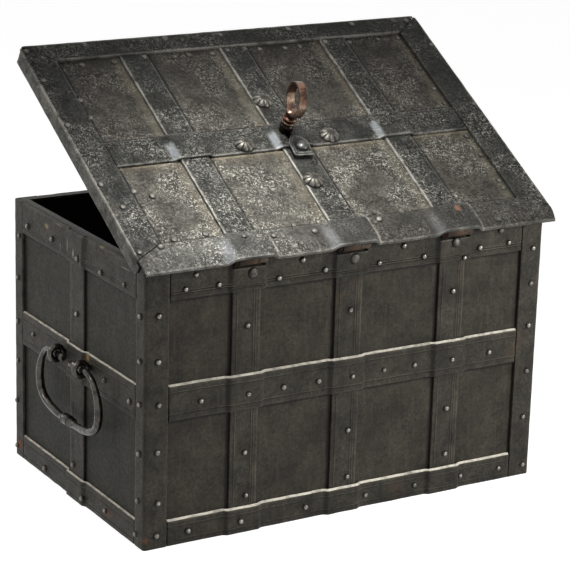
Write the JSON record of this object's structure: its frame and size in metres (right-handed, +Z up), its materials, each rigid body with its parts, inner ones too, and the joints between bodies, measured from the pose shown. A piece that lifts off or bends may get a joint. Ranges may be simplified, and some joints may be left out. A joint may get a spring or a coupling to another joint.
{
  "type": "iron strongbox",
  "caption": "Wrought-iron chest with riveted bands, drop handles on the ends, and a hinged lid with a key-driven lock whose bolts shoot under a rim.",
  "frame": {"origin": "middle of the underside, on the floor", "axes": "+Z up, +X along the long side to the right as seen from the hinge side, +Y from the hinge side to the lock side"},
  "size_m": [0.4618, 0.2908, 0.4115],
  "materials": {
    "plate_iron": "dark oxidised sheet iron",
    "band_iron": "worn, with bare highlights on the edges",
    "lid_plate_iron": "pitted grey iron",
    "lid_band_iron": "worn, pitted",
    "handle_iron": "rubbed smooth by hands",
    "hinge_iron": "rust brown",
    "key_iron": "brown iron, polished on the ring",
    "lock_iron": "filed, oiled iron",
    "rosette_iron": "rubbed bright on the facets"
  },
  "bodies": {
    "root": {"bottom_band_hinge_side": "band_iron", "bottom_band_left_end": "band_iron", "bottom_band_lock_side": "band_iron", "bottom_band_right_end": "band_iron", "catch_rim": "plate_iron", "corner_angle_hinge_left": "band_iron", "corner_angle_hinge_right": "band_iron", "corner_angle_lock_left": "band_iron", "corner_angle_lock_right": "band_iron", "floor_plate": "plate_iron", "hinge_pin_left": "hinge_iron", "hinge_pin_middle": "hinge_iron", "hinge_pin_right": "hinge_iron", "hinge_side_plate": "plate_iron", "hinge_strap_left": "band_iron", "hinge_strap_middle": "band_iron", "hinge_strap_right": "band_iron", "left_end_plate": "plate_iron", "left_end_strap": "band_iron", "left_handle_eye_far": "handle_iron", "left_handle_eye_near": "handle_iron", "lock_side_plate": "plate_iron", "lock_side_strap_left": "band_iron", "lock_side_strap_middle": "band_iron", "lock_side_strap_right": "band_iron", "middle_band_hinge_side": "band_iron", "middle_band_left_end": "band_iron", "middle_band_lock_side": "band_iron", "middle_band_right_end": "band_iron", "right_end_plate": "plate_iron", "right_end_strap": "band_iron", "right_handle_eye_far": "handle_iron", "right_handle_eye_near": "handle_iron", "top_band_hinge_side": "band_iron", "top_band_left_end": "band_iron", "top_band_lock_side": "band_iron", "top_band_right_end": "band_iron"},
    "lid": {"lid_border_front": "lid_band_iron", "lid_border_hinge": "lid_band_iron", "lid_border_left": "lid_band_iron", "lid_border_right": "lid_band_iron", "lid_long_strap": "lid_band_iron", "lid_plate": "lid_plate_iron", "lid_strap_left": "lid_band_iron", "lid_strap_middle": "lid_band_iron", "lid_strap_right": "lid_band_iron", "lock_bridge": "lock_iron", "lock_plate": "lock_iron", "rosette_bolt_back": "rosette_iron", "rosette_bolt_front": "rosette_iron", "rosette_bolt_left": "rosette_iron", "rosette_bolt_right": "rosette_iron"},
    "key": {"key": "key_iron", "lock_rotor": "lock_iron"},
    "main_bolt": {"main_bolt": "lock_iron"},
    "left_bolt": {"left_bolt": "lock_iron"},
    "right_bolt": {"right_bolt": "lock_iron"},
    "keyhole_cover": {"keyhole_cover": "rosette_iron"},
    "left_handle": {"left_handle": "handle_iron"},
    "right_handle": {"right_handle": "handle_iron"}
  },
  "joints": [
    {"name": "lid_hinge", "type": "hinge", "parent": "root", "child": "lid", "pos_m": [0, -0.143, 0.2601], "axis": [1, 0, 0], "range_deg": [-30.2, 69.8]},
    {"name": "key_turn", "type": "hinge", "parent": "lid", "child": "key", "pos_m": [-0.007, -0.01973, 0.33855], "axis": [0, 0.503, -0.8643], "range_deg": [0, 60]},
    {"name": "main_bolt_slide", "type": "slide", "parent": "lid", "child": "main_bolt", "axis": [0, 0.8643, 0.503], "range_m": [0, 0.01]},
    {"name": "left_bolt_slide", "type": "slide", "parent": "lid", "child": "left_bolt", "axis": [-1, 0, 0], "range_m": [0, 0.01]},
    {"name": "right_bolt_slide", "type": "slide", "parent": "lid", "child": "right_bolt", "axis": [1, 0, 0], "range_m": [0, 0.01]},
    {"name": "keyhole_cover_pivot", "type": "hinge", "parent": "lid", "child": "keyhole_cover", "pos_m": [-0.002, -0.03097, 0.33201], "axis": [0, -0.503, 0.8643], "range_deg": [-60, 105]},
    {"name": "left_handle_swing", "type": "hinge", "parent": "root", "child": "left_handle", "pos_m": [-0.2216, -0.004, 0.14], "axis": [0, 1, 0], "range_deg": [-4, 183]},
    {"name": "right_handle_swing", "type": "hinge", "parent": "root", "child": "right_handle", "pos_m": [0.2216, 0.004, 0.14], "axis": [0, -1, 0], "range_deg": [-4, 183]}
  ],
  "couplings": [
    {"joint": "key_turn", "follows": "main_bolt_slide", "rad_per_m": 104.72},
    {"joint": "left_bolt_slide", "follows": "main_bolt_slide", "ratio": 1},
    {"joint": "right_bolt_slide", "follows": "main_bolt_slide", "ratio": 1}
  ]
}
